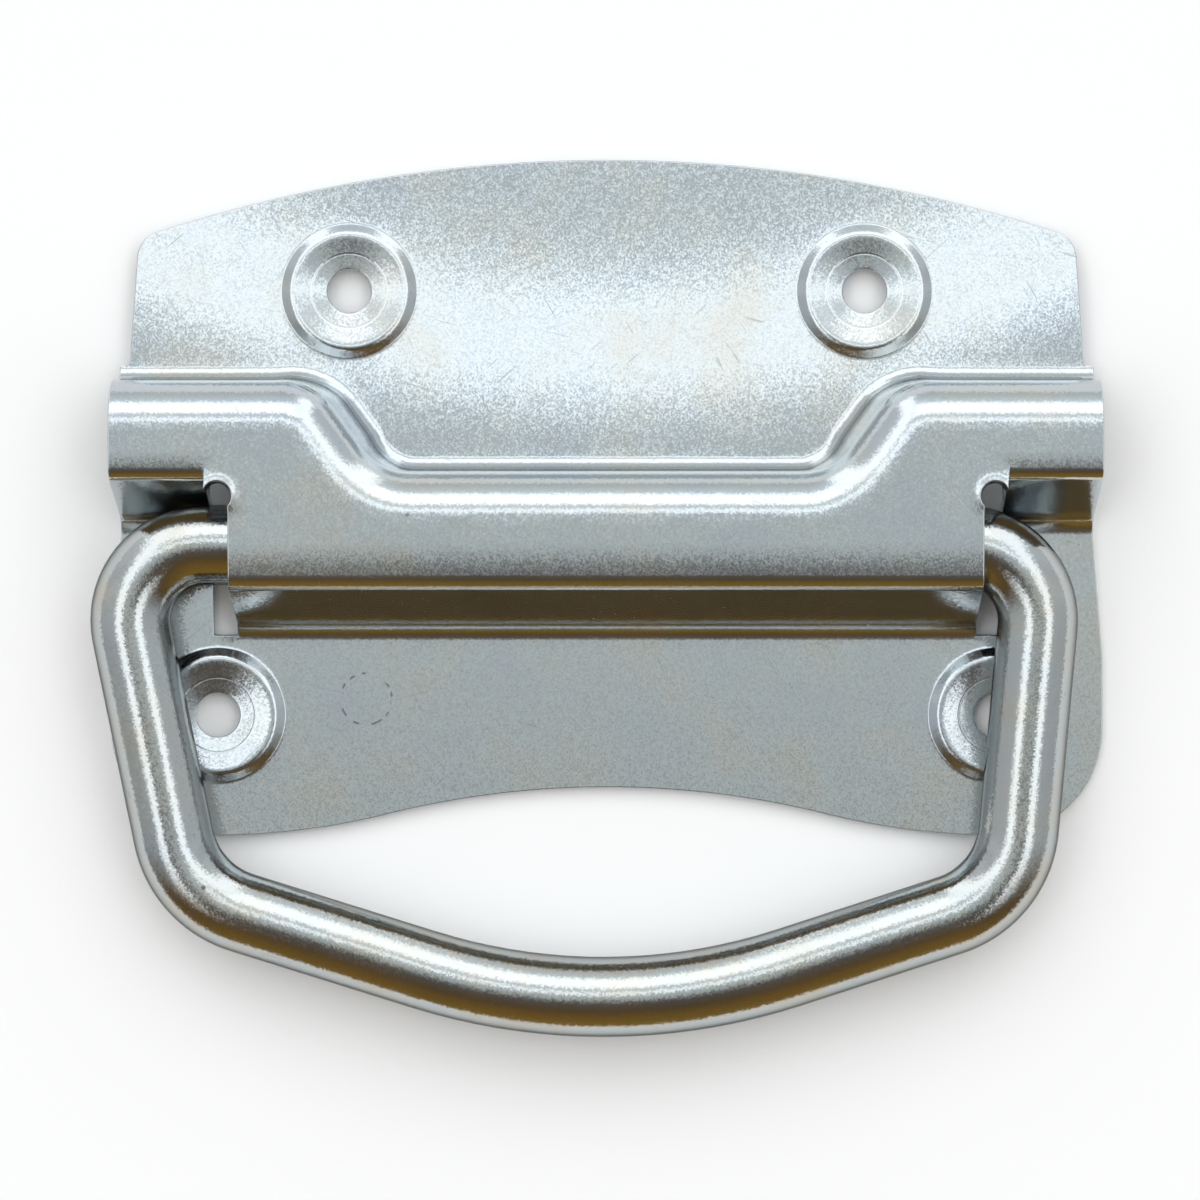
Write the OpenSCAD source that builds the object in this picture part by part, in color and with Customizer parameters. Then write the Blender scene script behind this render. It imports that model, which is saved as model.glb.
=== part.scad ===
// Chest handle: a pressed sheet back plate with a barrel and two ears, and a rod bail that swings in it.
// The plate lies on its back: +X is to the right, +Y is up the plate and +Z points out of the chest.
// The origin is on the mounting plane, midway between the two upper screw holes.

/* [Sheet] */
// Thickness of the pressed sheet
sheet_t = 1.2; // [0.8:0.1:1.5]

/* [Upper plate] */
// Height of the top edge above the hinge line, at mid-width
plate_top = 39; // [36:0.5:44]
// Radius of the arched top edge
plate_top_r = 145; // [110:5:220]
// Half width of the upper plate where it leaves the ears
plate_root_half = 48.2; // [45:0.1:48.8]
// Lean of the plate's sides, in degrees
plate_side_lean = 3.6; // [0:0.1:6]
// Radius of the two top corners
plate_corner_r = 2.8; // [1:0.1:5]

/* [Raised rib] */
// Half width over the ears
ear_half = 49.1; // [46:0.1:49.6]
// Height of the ears' upper wall above the hinge line
ear_top = 16.3; // [14:0.1:18]
// Height of the barrel's upper wall above the hinge line
barrel_top = 7.25; // [6:0.05:8.5]
// Half length of the barrel
barrel_half = 37.3; // [34:0.1:38]
// Half width of the low middle stretch, at the foot of the steps
step_x = 23.1; // [18:0.1:25]
// Slope of the steps between barrel and ears, in degrees
step_angle = 54; // [45:1:65]
// Plan radius at the top of each step
step_round_r = 6.5; // [5:0.1:7]
// Plan radius at the foot of each step
step_fillet_r = 6.5; // [4:0.1:7]
// Outer radius of the bend along the rib's upper edge
brow_r = 4.3; // [2:0.1:4.8]
// Front radius of the bend where the rib rises from the plate
root_r = 2; // [0.5:0.1:3]

/* [Returns] */
// Slope of the returns behind barrel and ears, in degrees
return_angle = 70; // [70:1:78]
// Outer radius of the bend from the front into a return
lip_r = 3.4; // [1.6:0.1:3.6]
// Front radius at the foot of the barrel's return
barrel_foot_r = 2.7; // [1:0.1:2.8]
// Front radius at the foot of the ears' returns
ear_foot_r = 2; // [1:0.1:3]

/* [Slots] */
// Width of the slot between the barrel's end and the ear's return
slot_w = 2.4; // [1.5:0.1:4]
// Depth of the slot's lower end below the hinge line
slot_drop = 7; // [5:0.1:8]
// Radius of the relief hole at the top of each slot
relief_r = 1.7; // [1.3:0.05:2]
// Height of the relief hole above the hinge line
relief_y = 5.35; // [4:0.05:5.8]
// How far outside the barrel's end the relief hole is centred
relief_out = 0.8; // [0.5:0.05:1.2]

/* [Lower flange] */
// Half distance between the centres of the two lobes
lobe_half = 39.3; // [36:0.1:39.3]
// Depth of the lobes' centres below the hinge line
lobe_drop = 18.5; // [17:0.1:22]
// Radius of the lobes
lobe_r = 10.8; // [9.9:0.1:12]
// Radius of the slow sweep from each lobe into the arch
lobe_sweep_r = 70; // [60:1:90]
// Depth of the arch's crown below the hinge line
arch_drop = 24.45; // [20:0.05:25.5]
// Depth at which the flared sides reach their full width
flare_drop = 11.5; // [6:0.1:16]

/* [Screw dishes] */
// Diameter of the screw holes
hole_d = 4.4; // [3.5:0.1:5.5]
// Outer diameter of a dish's raised rim
dish_d = 14.2; // [13:0.1:14.2]
// Diameter of the rim's crest
dish_crest_d = 11.4; // [10:0.1:12]
// Diameter of the faint crease inside the dish
dish_crease_d = 8.2; // [7:0.1:9]
// Height of the crest above the sheet
dish_h = 0.8; // [0.3:0.1:1.2]
// Distance between the upper screw holes
upper_spacing = 52; // [40:0.5:64]
// Height of the upper screw holes above the hinge line
upper_row = 25.7; // [25.5:0.1:27]
// Distance between the lower screw holes
lower_spacing = 78.6; // [76:0.1:80]
// Depth of the lower screw holes below the hinge line
lower_row = 17.1; // [17.1:0.1:18.5]

/* [Bail] */
// Diameter of the bail's rod
rod_d = 8; // [7:0.1:8.1]
// Gap between the rod and the flange's face at the hinge line
rod_lift = 1.6; // [1.2:0.1:1.9]
// Play round the pivot inside the barrel
pivot_play = 0.65; // [0.4:0.05:0.75]
// Play between the rod and the ears' returns
ear_play = 0.25; // [0.15:0.05:0.6]
// Length of each pivot inside the barrel
pivot_depth = 12; // [6:0.5:20]
// How far outside the barrel's end the upper bends begin
bend_gap = 0.5; // [-0.2:0.1:3]
// Centreline radius of the upper bends
bail_top_r = 7.5; // [6:0.5:9]
// Centreline radius of the lower corners
bail_corner_r = 10; // [6:0.5:14]
// Centreline radius of the tip
bail_tip_r = 60; // [30:1:70]
// Inward lean of the legs, in degrees
leg_lean = 8.3; // [0:0.1:12]
// Depth of the lower corners' sharp points below the hinge line
corner_drop = 35; // [33:0.5:40]
// Depth of the tip's sharp point below the hinge line
tip_drop = 48.2; // [45:0.1:56]
// How far the bail's top sits to the left of its tip
bail_sway = 2.7; // [0:0.1:2.8]
// Gap between the resting legs and the dishes' crests
rest_gap = 0.2; // [0.1:0.05:0.5]

/* [Hidden] */
$fn = 96;

// Pieces of one bent form run into each other by the overlap.
// Each is a hair thinner than the piece that it runs into.
// Where bends are tight they run in by the lap. The flat sheet reaches that far over the rib's bends.
// Arcs in the flat sheet's outline are a hair wide of the straights that they join.
overlap = 0.3;
lap = 0.15;
hair = 0.02;

rod_r = rod_d / 2;
hinge_z = sheet_t + rod_lift + rod_r;
front_over_hinge = rod_r + pivot_play + sheet_t;
front_z = hinge_z + front_over_hinge;

// Height positions of the two returns, from the play that the rod needs beside them
return_run = (front_z - sheet_t) / tan(return_angle);
barrel_lip = -front_over_hinge * (1 - cos(return_angle)) / sin(return_angle);
ear_lip = (rod_r + ear_play + front_over_hinge * cos(return_angle)) / sin(return_angle);
barrel_foot_edge = barrel_lip - return_run - tangent_length(barrel_foot_r, return_angle);
slot_out = barrel_half + slot_w;

// Corners and arc centres of the right-hand step
step_low = [step_x, barrel_top];
step_high = step_low + [(ear_top - barrel_top) / tan(step_angle), ear_top - barrel_top];
step_normal = [-sin(step_angle), cos(step_angle)];
round_centre = step_high + [tangent_length(step_round_r, step_angle), -step_round_r];
fillet_centre = step_low + [-tangent_length(step_fillet_r, step_angle), step_fillet_r];

// Lower edge: lobes, slow sweeps and the arch that touches both sweeps
flange_half = lobe_half + lobe_r;
lobe_floor = -lobe_drop - lobe_r;
sweep_centre = [lobe_half, lobe_floor + lobe_sweep_r];
sweep_rise = sweep_centre[1] + arch_drop;
arch_reach = pow(lobe_half, 2) + pow(sweep_rise, 2) - pow(lobe_sweep_r, 2);
arch_r = arch_reach / (2 * (lobe_sweep_r - sweep_rise));
arch_centre = [0, -arch_drop - arch_r];
sweep_start = arch_centre + (sweep_centre - arch_centre) * arch_r / (arch_r + lobe_sweep_r);

// Top corners: a circle inside both the leaning side and the arched edge
top_centre = [0, plate_top - plate_top_r];
side_foot = [plate_root_half, ear_top];
side_dir = [-sin(plate_side_lean), cos(plate_side_lean)];
side_inward = [-cos(plate_side_lean), -sin(plate_side_lean)];
corner_point = side_meets_arc(0);
corner_centre = side_meets_arc(plate_corner_r);
corner_stretch = plate_top_r / (plate_top_r - plate_corner_r);
corner_arc_point = top_centre + (corner_centre - top_centre) * corner_stretch;

// Bail: sharp corners of its centreline, and the tilt at which the legs lie just over the dishes' crests
bail_half = barrel_half + bend_gap + tangent_length(bail_top_r, 90 + leg_lean);
bail_points = [
    swayed(pivot_depth - barrel_half, 0),
    swayed(-bail_half, 0),
    swayed(corner_drop * tan(leg_lean) - bail_half, corner_drop),
    [0, -tip_drop],
    swayed(bail_half - corner_drop * tan(leg_lean), corner_drop),
    swayed(bail_half, 0),
    swayed(barrel_half - pivot_depth, 0)
];
bail_radii = [0, bail_top_r, bail_corner_r, bail_tip_r, bail_corner_r, bail_top_r, 0];
rest_tilt = asin((rod_lift - dish_h - rest_gap) / (lower_row + dish_crest_d / 2));

function tangent_length(r, turn) = r * tan(turn / 2);
function direction(a) = [cos(a), sin(a)];

// The list followed by its mirror image in X, taken backwards
function mirrored(pts) = concat(pts, [for (i = [len(pts) - 1:-1:0]) [-pts[i][0], pts[i][1]]]);

// The point at inset r from the plate's side and from its arched top edge
function side_meets_arc(r) =
    let (q = side_foot + r * side_inward - top_centre, along = q * side_dir)
    side_foot + r * side_inward
        + side_dir * (sqrt(pow(along, 2) - q * q + pow(plate_top_r - r, 2)) - along);

// A point of the bail's centreline, moved sideways by its share of the sway
function swayed(x, drop) = [x - bail_sway * (1 - drop / tip_drop), -drop];

function leg_length(i) = norm(bail_points[i + 1] - bail_points[i]);
function heading(i) = (bail_points[i + 1] - bail_points[i]) / leg_length(i);
function bearing(i) = atan2(heading(i)[1], heading(i)[0]);
function turn_at(i) =
    (i == 0 || i == len(bail_points) - 1) ? 0 : acos(heading(i - 1) * heading(i));
function trim_at(i) = tangent_length(bail_radii[i], turn_at(i));

// Sheet in section: a bend about a centre, from angle a0 to a1, thinned by e on both faces
module sheet_bend(centre, r_in, a0, a1, e = 0) {
    reach = 2 * (r_in + sheet_t);
    translate(centre)
        intersection() {
            difference() {
                circle(r_in + sheet_t - e);
                circle(r_in + e);
            }
            polygon([
                [0, 0],
                reach * direction(a0),
                reach * direction((a0 + a1) / 2),
                reach * direction(a1)
            ]);
        }
}

// Sheet in section: the raised rib's wall with its bends, where x = 0 is the wall's outer face.
// It is thinned by e on both faces, and a tail at each end runs into the flat sheet beside it.
module rib_section(e) {
    sheet_bend([-brow_r, front_z - brow_r], brow_r - sheet_t, 0, 90, e);
    translate([e - sheet_t, sheet_t + root_r])
        square([sheet_t - 2 * e, front_z - brow_r - sheet_t - root_r]);
    sheet_bend([root_r, sheet_t + root_r], root_r, 180, 270, e);
    translate([-brow_r - overlap, front_z - sheet_t + e])
        square([overlap, sheet_t - 2 * e]);
    translate([root_r, e])
        square([overlap, sheet_t - 2 * e]);
}

// Sheet in section: a return from its sharp front corner at height lip down to the flange
module return_section(lip, foot_r) {
    lip_trim = tangent_length(lip_r, return_angle);
    foot_trim = tangent_length(foot_r, return_angle);
    foot_edge = lip - return_run - foot_trim;
    wall = return_run / cos(return_angle) - lip_trim - foot_trim;
    sheet_bend([lip + lip_trim, front_z - lip_r], lip_r - sheet_t, 90, 90 + return_angle);
    translate([lip, front_z])
        rotate(180 + return_angle)
            translate([lip_trim - lap, hair])
                square([wall + 2 * lap, sheet_t - 2 * hair]);
    sheet_bend([foot_edge, sheet_t + foot_r], foot_r, -90, return_angle - 90);
}

// A section drawn in height and depth, run along X from x0 to x1
module run_along_x(x0, x1) {
    translate([x0, 0, 0])
        rotate([90, 0, 90])
            linear_extrude(height = x1 - x0)
                children();
}

module both_sides() {
    children();
    mirror([1, 0, 0])
        children();
}

// Plan of the raised form with its upper edge moved out by d, over the given lower right-hand corners
module raised_plan(d, lower) {
    shift = [-tangent_length(d, step_angle), d];
    upper = [[lower[len(lower) - 1][0], ear_top + d], step_high + shift, step_low + shift];
    round_r = step_round_r + d;
    fillet_r = step_fillet_r - d;
    difference() {
        union() {
            polygon(mirrored(concat(lower, upper)));
            both_sides()
                difference() {
                    polygon([
                        step_low + shift + [1, -1],
                        fillet_centre - fillet_r * step_normal,
                        fillet_centre,
                        fillet_centre - [0, fillet_r]
                    ]);
                    translate(fillet_centre)
                        circle(fillet_r + hair);
                }
        }
        both_sides()
            difference() {
                polygon([step_high + shift + [-1, 1], round_centre + [0, round_r], round_centre,
                    round_centre + round_r * step_normal]);
                translate(round_centre)
                    circle(round_r + hair);
            }
    }
}

// Plan of the flat upper plate, down to the foot of the rib
module upper_plan() {
    difference() {
        intersection() {
            polygon(mirrored([
                [plate_root_half, barrel_top],
                side_foot,
                side_foot + 1.1 * (plate_top - ear_top) * side_dir
            ]));
            translate(top_centre)
                circle(plate_top_r, $fn = 360);
        }
        both_sides()
            difference() {
                polygon([corner_centre, corner_centre - plate_corner_r * side_inward,
                    1.5 * corner_point - 0.5 * corner_centre, corner_arc_point]);
                translate(corner_centre)
                    circle(plate_corner_r + hair);
            }
        raised_plan(root_r - lap, [[ear_half, 0]]);
    }
}

// Plan of the rib's flat front, with the slots' relief holes
module front_plan() {
    lip_trim = tangent_length(lip_r, return_angle);
    difference() {
        raised_plan(lap - brow_r, [
            [barrel_half, barrel_lip + lip_trim],
            [barrel_half, relief_y],
            [slot_out, relief_y],
            [slot_out, ear_lip + lip_trim],
            [ear_half, ear_lip + lip_trim]
        ]);
        both_sides()
            translate([barrel_half + relief_out, relief_y])
                circle(relief_r);
    }
}

// Plan of the lower flange, from the feet of the returns to the arched edge
module lower_plan() {
    ear_foot_edge = ear_lip - return_run - tangent_length(ear_foot_r, return_angle);
    difference() {
        union() {
            polygon(mirrored([
                [barrel_half, barrel_foot_edge],
                [barrel_half, -slot_drop],
                [slot_out, -slot_drop],
                [slot_out, ear_foot_edge],
                [ear_half, ear_foot_edge],
                [flange_half, -flare_drop],
                [flange_half, -lobe_drop],
                [lobe_half, -lobe_drop],
                [lobe_half, lobe_floor]
            ]));
            both_sides()
                translate([lobe_half, -lobe_drop])
                    circle(lobe_r);
        }
        translate(arch_centre)
            circle(arch_r, $fn = 360);
        both_sides()
            difference() {
                translate([sweep_start[0], lobe_floor])
                    square([lobe_half - sweep_start[0], lobe_r]);
                translate(sweep_centre)
                    circle(lobe_sweep_r + hair, $fn = 360);
            }
    }
}

// Pressed screw seat: a raised rim round a shallow cone, of even thickness
module screw_dish() {
    face = [
        [hole_d / 2, 0],
        [dish_crease_d / 2, dish_h * 0.45],
        [dish_crest_d / 2, dish_h],
        [dish_d / 2, 0]
    ];
    rotate_extrude()
        polygon(concat([for (p = face) p + [0, sheet_t]], [for (i = [len(face) - 1:-1:0]) face[i]]));
}

module at_dishes() {
    both_sides() {
        translate([upper_spacing / 2, upper_row, 0])
            children();
        translate([lower_spacing / 2, -lower_row, 0])
            children();
    }
}

// The flat areas of the pressed sheet, open where the dishes are pressed
module flat_areas() {
    difference() {
        linear_extrude(height = sheet_t) {
            upper_plan();
            lower_plan();
        }
        at_dishes()
            translate([0, 0, -sheet_t])
                cylinder(d = dish_d, h = 3 * sheet_t);
    }
    translate([0, 0, front_z - sheet_t])
        linear_extrude(height = sheet_t)
            front_plan();
}

// The rib's upper wall along the low middle, up the two steps and over the ears
module rib_wall() {
    slope_start = fillet_centre - step_fillet_r * step_normal;
    slope_end = round_centre + step_round_r * step_normal;
    translate([0, barrel_top, 0])
        run_along_x(-fillet_centre[0] - overlap, fillet_centre[0] + overlap)
            rib_section(hair);
    both_sides() {
        translate(fillet_centre)
            rotate_extrude(angle = step_angle, start = -90)
                translate([step_fillet_r, 0])
                    mirror([1, 0])
                        rib_section(2 * hair);
        translate(slope_start)
            rotate([0, 0, step_angle])
                run_along_x(-overlap, norm(slope_end - slope_start) + overlap)
                    rib_section(3 * hair);
        translate(round_centre)
            rotate_extrude(angle = step_angle, start = 90)
                translate([step_round_r, 0])
                    rib_section(2 * hair);
        translate([0, ear_top, 0])
            run_along_x(round_centre[0] - overlap, ear_half)
                rib_section(hair);
    }
}

module plate() {
    color("#c3c9cb")
        translate([0, -upper_row, 0]) {
            flat_areas();
            at_dishes()
                screw_dish();
            rib_wall();
            run_along_x(-barrel_half, barrel_half)
                return_section(barrel_lip, barrel_foot_r);
            both_sides()
                run_along_x(slot_out, ear_half)
                    return_section(ear_lip, ear_foot_r);
        }
}

// The straight stretch of rod between corner i and the next one
module rod_run(i) {
    before = (i == 0) ? 0 : overlap;
    after = (i == len(bail_points) - 2) ? 0 : overlap;
    start = bail_points[i] + (trim_at(i) - before) * heading(i);
    translate(start)
        rotate([0, 90, bearing(i)])
            cylinder(r = rod_r - hair, h = leg_length(i) - trim_at(i) - trim_at(i + 1) + before + after);
}

// The bent stretch of rod round corner i, which turns left
module rod_bend(i) {
    start = bail_points[i] - trim_at(i) * heading(i - 1);
    left = [-heading(i - 1)[1], heading(i - 1)[0]];
    translate(start + bail_radii[i] * left)
        rotate_extrude(angle = turn_at(i), start = bearing(i - 1) - 90)
            translate([bail_radii[i], 0])
                circle(rod_r);
}

module bail() {
    color("#b4babb")
        translate([0, -upper_row, hinge_z])
            rotate([rest_tilt, 0, 0]) {
                for (i = [0:len(bail_points) - 2])
                    rod_run(i);
                for (i = [1:len(bail_points) - 2])
                    rod_bend(i);
            }
}

plate();
bail();
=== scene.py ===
"""Dressed scene of a zinc-plated chest handle: a pressed back plate and the rod bail that swings in it."""

import logging
import math
from collections.abc import Callable, Sequence
from dataclasses import dataclass
from enum import Enum

import bmesh
import bpy
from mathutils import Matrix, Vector
from mathutils.geometry import delaunay_2d_cdt
from mathutils.kdtree import KDTree


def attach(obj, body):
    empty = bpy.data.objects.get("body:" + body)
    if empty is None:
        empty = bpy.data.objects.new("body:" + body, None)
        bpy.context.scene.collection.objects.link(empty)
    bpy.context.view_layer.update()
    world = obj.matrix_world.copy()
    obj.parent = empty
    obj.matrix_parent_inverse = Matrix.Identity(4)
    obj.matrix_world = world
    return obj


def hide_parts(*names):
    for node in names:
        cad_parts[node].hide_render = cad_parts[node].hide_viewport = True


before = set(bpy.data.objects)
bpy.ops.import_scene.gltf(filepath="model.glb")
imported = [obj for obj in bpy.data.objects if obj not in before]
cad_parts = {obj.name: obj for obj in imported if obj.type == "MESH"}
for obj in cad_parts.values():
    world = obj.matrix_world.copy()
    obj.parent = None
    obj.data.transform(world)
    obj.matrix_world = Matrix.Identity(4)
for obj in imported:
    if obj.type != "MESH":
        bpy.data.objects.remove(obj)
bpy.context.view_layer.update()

LOG = logging.getLogger("chest_handle")

Point2 = tuple[float, float]
Point3 = tuple[float, float, float]

MM = 0.001
# Turns below this many radians count as straight
NO_TURN = 1e-6
# Edges that turn by more degrees than this are shaded as sharp
SHARP_ANGLE = 50
# Sizes are drawn about the hinge line, and the frame's origin lies this far up the plate from it
HINGE_BELOW_ORIGIN = 25.7


class Body(Enum):
    """Moving bodies of the frame."""

    PLATE = "plate"
    BAIL = "bail"


class Slot(Enum):
    """Material slots of the record."""

    SHEET = "zinc_sheet"
    ROD = "zinc_rod"


def linear(code: str) -> tuple[float, float, float, float]:
    """Turns an sRGB hex code into linear RGBA.

    Args:
        code: Colour as "#rrggbb".

    Returns:
        Linear red, green, blue and an alpha of 1.
    """
    channels = [int(code[i:i + 2], 16) / 255 for i in (1, 3, 5)]
    rgb = [c / 12.92 if c <= 0.04045 else ((c + 0.055) / 1.055) ** 2.4 for c in channels]
    return rgb[0], rgb[1], rgb[2], 1.0


def per_mm(size: float) -> float:
    """Texture scale at which one pattern cell is this many millimetres wide."""
    return 1 / (size * MM)


def add(tree: bpy.types.NodeTree, kind: str, inputs: dict | None = None,
        **settings: object) -> bpy.types.Node:
    """Adds a node with its settings, values and links.

    Args:
        tree: Node tree to add to.
        kind: Node type name.
        inputs: Socket name or number to a value, or to the output socket to link.
        settings: Node attributes.

    Returns:
        The new node.
    """
    node = tree.nodes.new(kind)
    for key, value in settings.items():
        setattr(node, key, value)
    for key, value in (inputs or {}).items():
        if isinstance(value, bpy.types.NodeSocket):
            tree.links.new(value, node.inputs[key])
        else:
            node.inputs[key].default_value = value
    return node


def reckon(tree: bpy.types.NodeTree, operation: str, *values: object) -> bpy.types.NodeSocket:
    """Result of a Math node on values or sockets, in their order."""
    return add(tree, "ShaderNodeMath", dict(enumerate(values)), operation=operation).outputs[0]


def reckon_vector(tree: bpy.types.NodeTree, operation: str, *values: object) -> bpy.types.NodeSocket:
    """Result of a Vector Math node on values or sockets, in their order."""
    return add(tree, "ShaderNodeVectorMath", dict(enumerate(values)), operation=operation).outputs[0]


def ranged(tree: bpy.types.NodeTree, value: bpy.types.NodeSocket, low: float, high: float,
           top: float = 1.0) -> bpy.types.NodeSocket:
    """Result of a Map Range node that goes from 0 at low to top at high."""
    return add(tree, "ShaderNodeMapRange", {
        "Value": value, "From Min": low, "From Max": high, "To Max": top}).outputs["Result"]


def blend(tree: bpy.types.NodeTree, share: bpy.types.NodeSocket, under: object,
          over: object) -> bpy.types.NodeSocket:
    """Result of a colour mix, from under at a share of 0 to over at 1."""
    return add(tree, "ShaderNodeMix", {"Factor": share, 6: under, 7: over}, data_type="RGBA").outputs[2]


def colour_ramp(tree: bpy.types.NodeTree, value: bpy.types.NodeSocket,
                stops: Sequence[tuple[float, str, float]]) -> bpy.types.Node:
    """Adds a colour ramp.

    Args:
        tree: Node tree to add to.
        value: What the ramp reads.
        stops: Position, hex colour and alpha of each stop, in order.

    Returns:
        The ramp's node.
    """
    node = add(tree, "ShaderNodeValToRGB", {"Fac": value})
    ramp = node.color_ramp.elements
    while len(ramp) < len(stops):
        ramp.new(0.5)
    for element, (position, code, alpha) in zip(ramp, stops):
        element.position = min(1.0, max(0.0, position))
        element.color = (*linear(code)[:3], alpha)
    return node


def rounded(corners: Sequence[Point2], radii: Sequence[float], steps: int) -> list[Point2]:
    """Rounds the inner corners of an open line with arcs.

    Args:
        corners: Sharp corners, ends included.
        radii: Radius at each corner, 0 for a sharp one.
        steps: Segments in each arc.

    Returns:
        The line's points, with steps + 1 of them for each rounded corner.
    """
    line = [Vector(c) for c in corners]
    out: list[Point2] = [tuple(line[0])]
    for before, corner, after, radius in zip(line, line[1:], line[2:], radii[1:-1]):
        into, away = (corner - before).normalized(), (after - corner).normalized()
        turn = math.atan2(into.x * away.y - into.y * away.x, into.dot(away))
        if radius <= 0 or abs(turn) < NO_TURN:
            out.append(tuple(corner))
            continue
        start = corner - into * radius * math.tan(abs(turn) / 2)
        centre = start + Vector((-into.y, into.x)) * math.copysign(radius, turn)
        out += [turned(start, centre, turn * k / steps) for k in range(steps + 1)]
    out.append(tuple(line[-1]))
    return out


def turned(point: Sequence[float], centre: Sequence[float], angle: float) -> Point2:
    """Turns a point about a centre by an angle in radians."""
    dx, dy = point[0] - centre[0], point[1] - centre[1]
    cos, sin = math.cos(angle), math.sin(angle)
    return centre[0] + dx * cos - dy * sin, centre[1] + dx * sin + dy * cos


def arc(centre: Point2, radius: float, start: float, end: float, pitch: float) -> list[Point2]:
    """Points on an arc.

    Args:
        centre: Centre of the circle.
        radius: Radius of the circle.
        start: First angle in degrees.
        end: Last angle in degrees.
        pitch: Longest distance between points.

    Returns:
        Points from start to end, both included.
    """
    steps = max(2, math.ceil(abs(math.radians(end - start)) * radius / pitch))
    angles = [math.radians(start + (end - start) * k / steps) for k in range(steps + 1)]
    return [(centre[0] + radius * math.cos(a), centre[1] + radius * math.sin(a)) for a in angles]


def spread(start: Sequence[float], end: Sequence[float], pieces: int) -> list[tuple[float, ...]]:
    """Points that divide a straight into equal pieces, with both ends."""
    return [tuple(a + (b - a) * k / pieces for a, b in zip(start, end)) for k in range(pieces + 1)]


def stepped(line: Sequence[Sequence[float]], pitch: float) -> list[tuple[float, ...]]:
    """Divides every straight of a line that is longer than the pitch.

    Args:
        line: Points of the line.
        pitch: Longest distance between points.

    Returns:
        The line with more points.
    """
    out = [tuple(line[0])]
    for a, b in zip(line, line[1:]):
        out += spread(a, b, max(1, math.ceil(math.dist(a, b) / pitch)))[1:]
    return out


def at_height(line: Sequence[Point2], z: float) -> list[Point3]:
    """Lifts plan points to a height."""
    return [(p[0], p[1], z) for p in line]


def mirrored(line: Sequence[tuple[float, ...]]) -> list[tuple[float, ...]]:
    """Mirror image of a line in X, taken backwards."""
    return [(-p[0], *p[1:]) for p in reversed(line)]


def smooth_step(low: float, high: float, value: float) -> float:
    """Goes smoothly from 0 at low to 1 at high."""
    t = min(1.0, max(0.0, (value - low) / (high - low)))
    return t * t * (3 - 2 * t)


def bump(distance: float) -> float:
    """Bell curve of height 1 that falls to about a third at distance 1."""
    return math.exp(-distance * distance)


def holds(loop: Sequence[Sequence[float]], x: float, y: float) -> bool:
    """Whether a plan point lies inside a closed loop.

    Args:
        loop: Points of the loop.
        x: Point's X.
        y: Point's Y.

    Returns:
        True inside the loop.
    """
    inside = False
    previous = loop[-1]
    for point in loop:
        if (point[1] > y) != (previous[1] > y):
            crossing = point[0] + (y - point[1]) * (previous[0] - point[0]) / (previous[1] - point[1])
            inside ^= x < crossing
        previous = point
    return inside


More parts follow.
